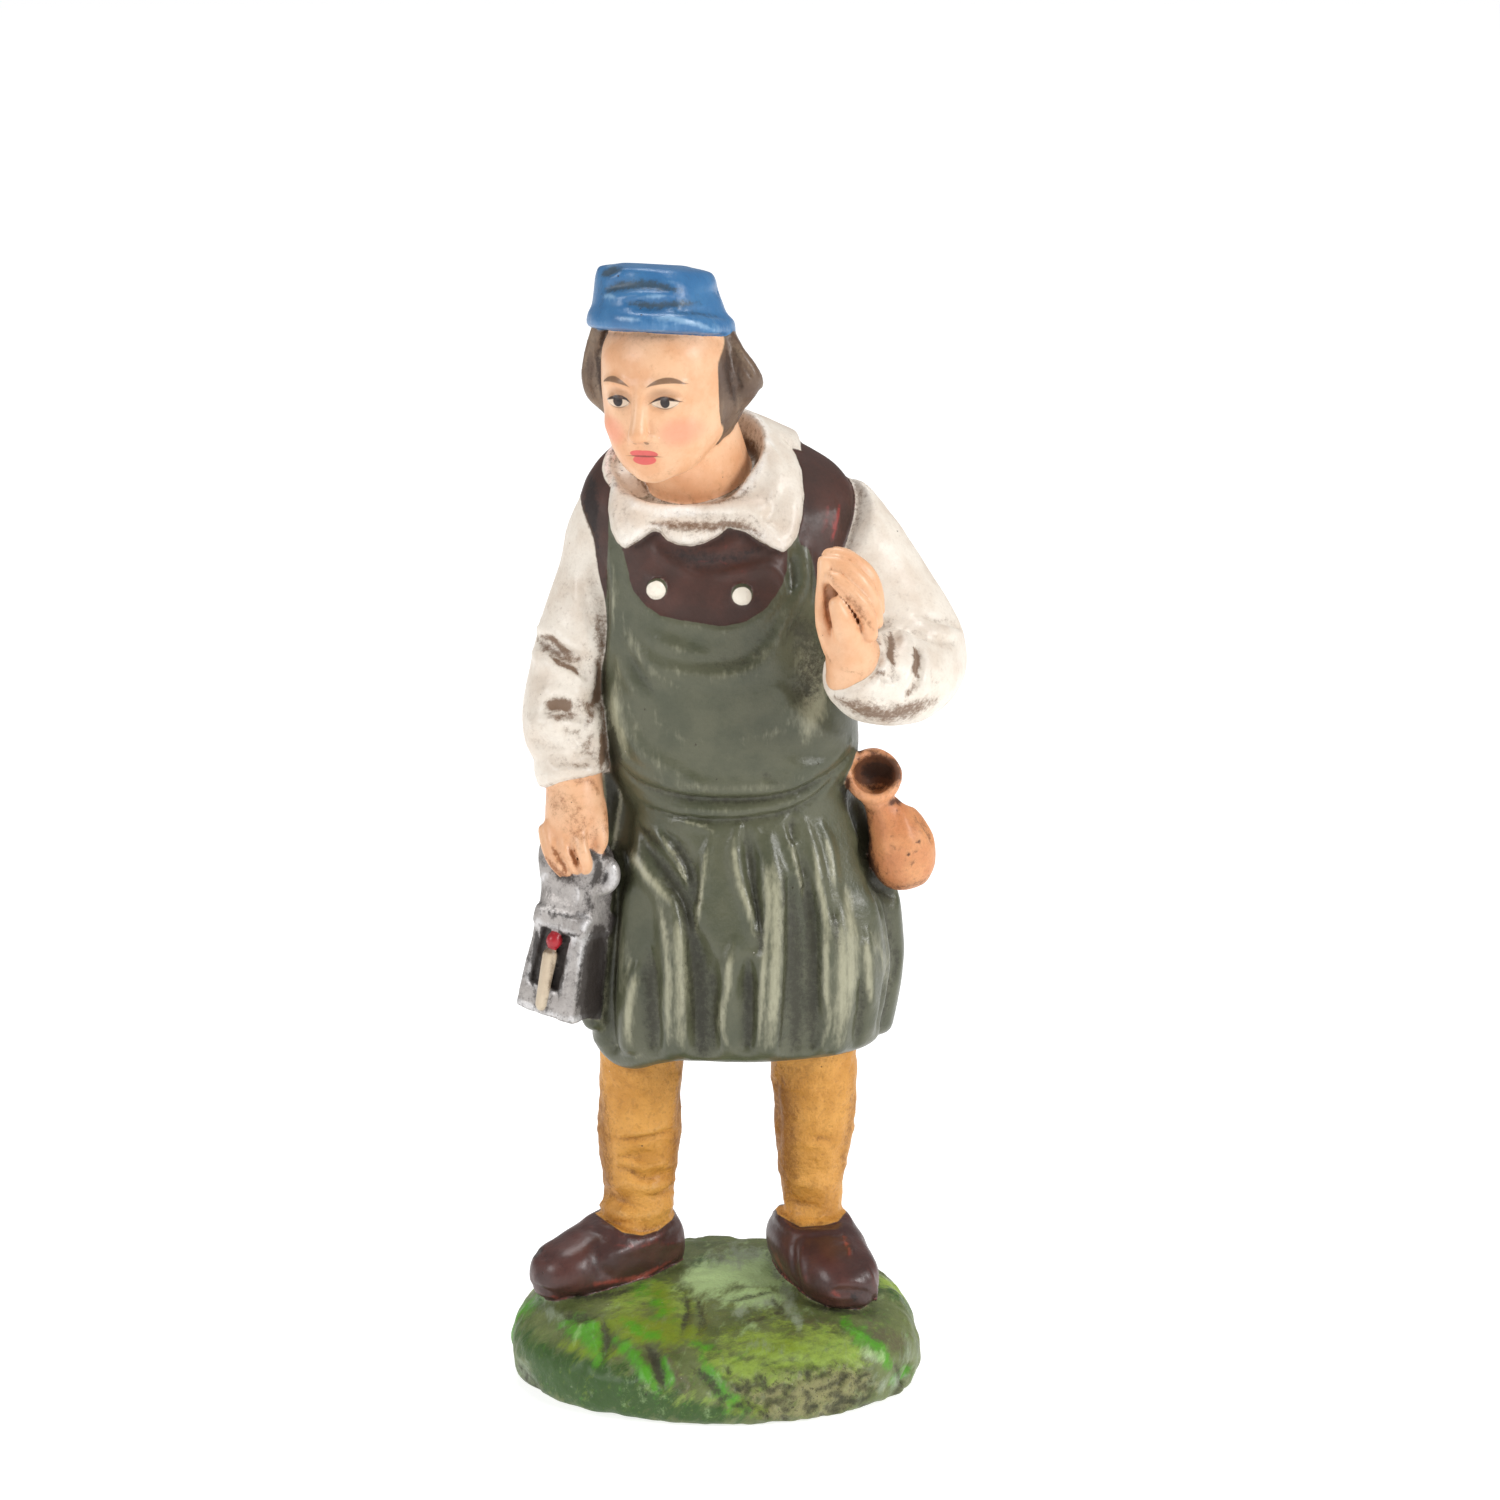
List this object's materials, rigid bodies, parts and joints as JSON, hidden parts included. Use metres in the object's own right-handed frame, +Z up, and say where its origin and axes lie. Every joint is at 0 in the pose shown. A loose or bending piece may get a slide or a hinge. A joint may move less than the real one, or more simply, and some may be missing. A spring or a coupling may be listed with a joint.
{
  "type": "nativity figure",
  "caption": "Painted crib figure of a standing man in cap, smock, stockings and clogs, one hand raised, the other holding a lantern, cast in one with a grass mound.",
  "frame": {"origin": "centre of the mound's flat underside", "axes": "+Z up; the figure faces -Y; +X is the figure's own left, the side of the raised hand"},
  "size_m": [0.0467, 0.0369, 0.1189],
  "materials": {
    "painted_composition": "hand-painted cast paper pulp and chalk composition, brown rubbed into the hollows, satin varnish"
  },
  "bodies": {
    "root": {"lantern_bearer": "painted_composition"}
  },
  "joints": []
}
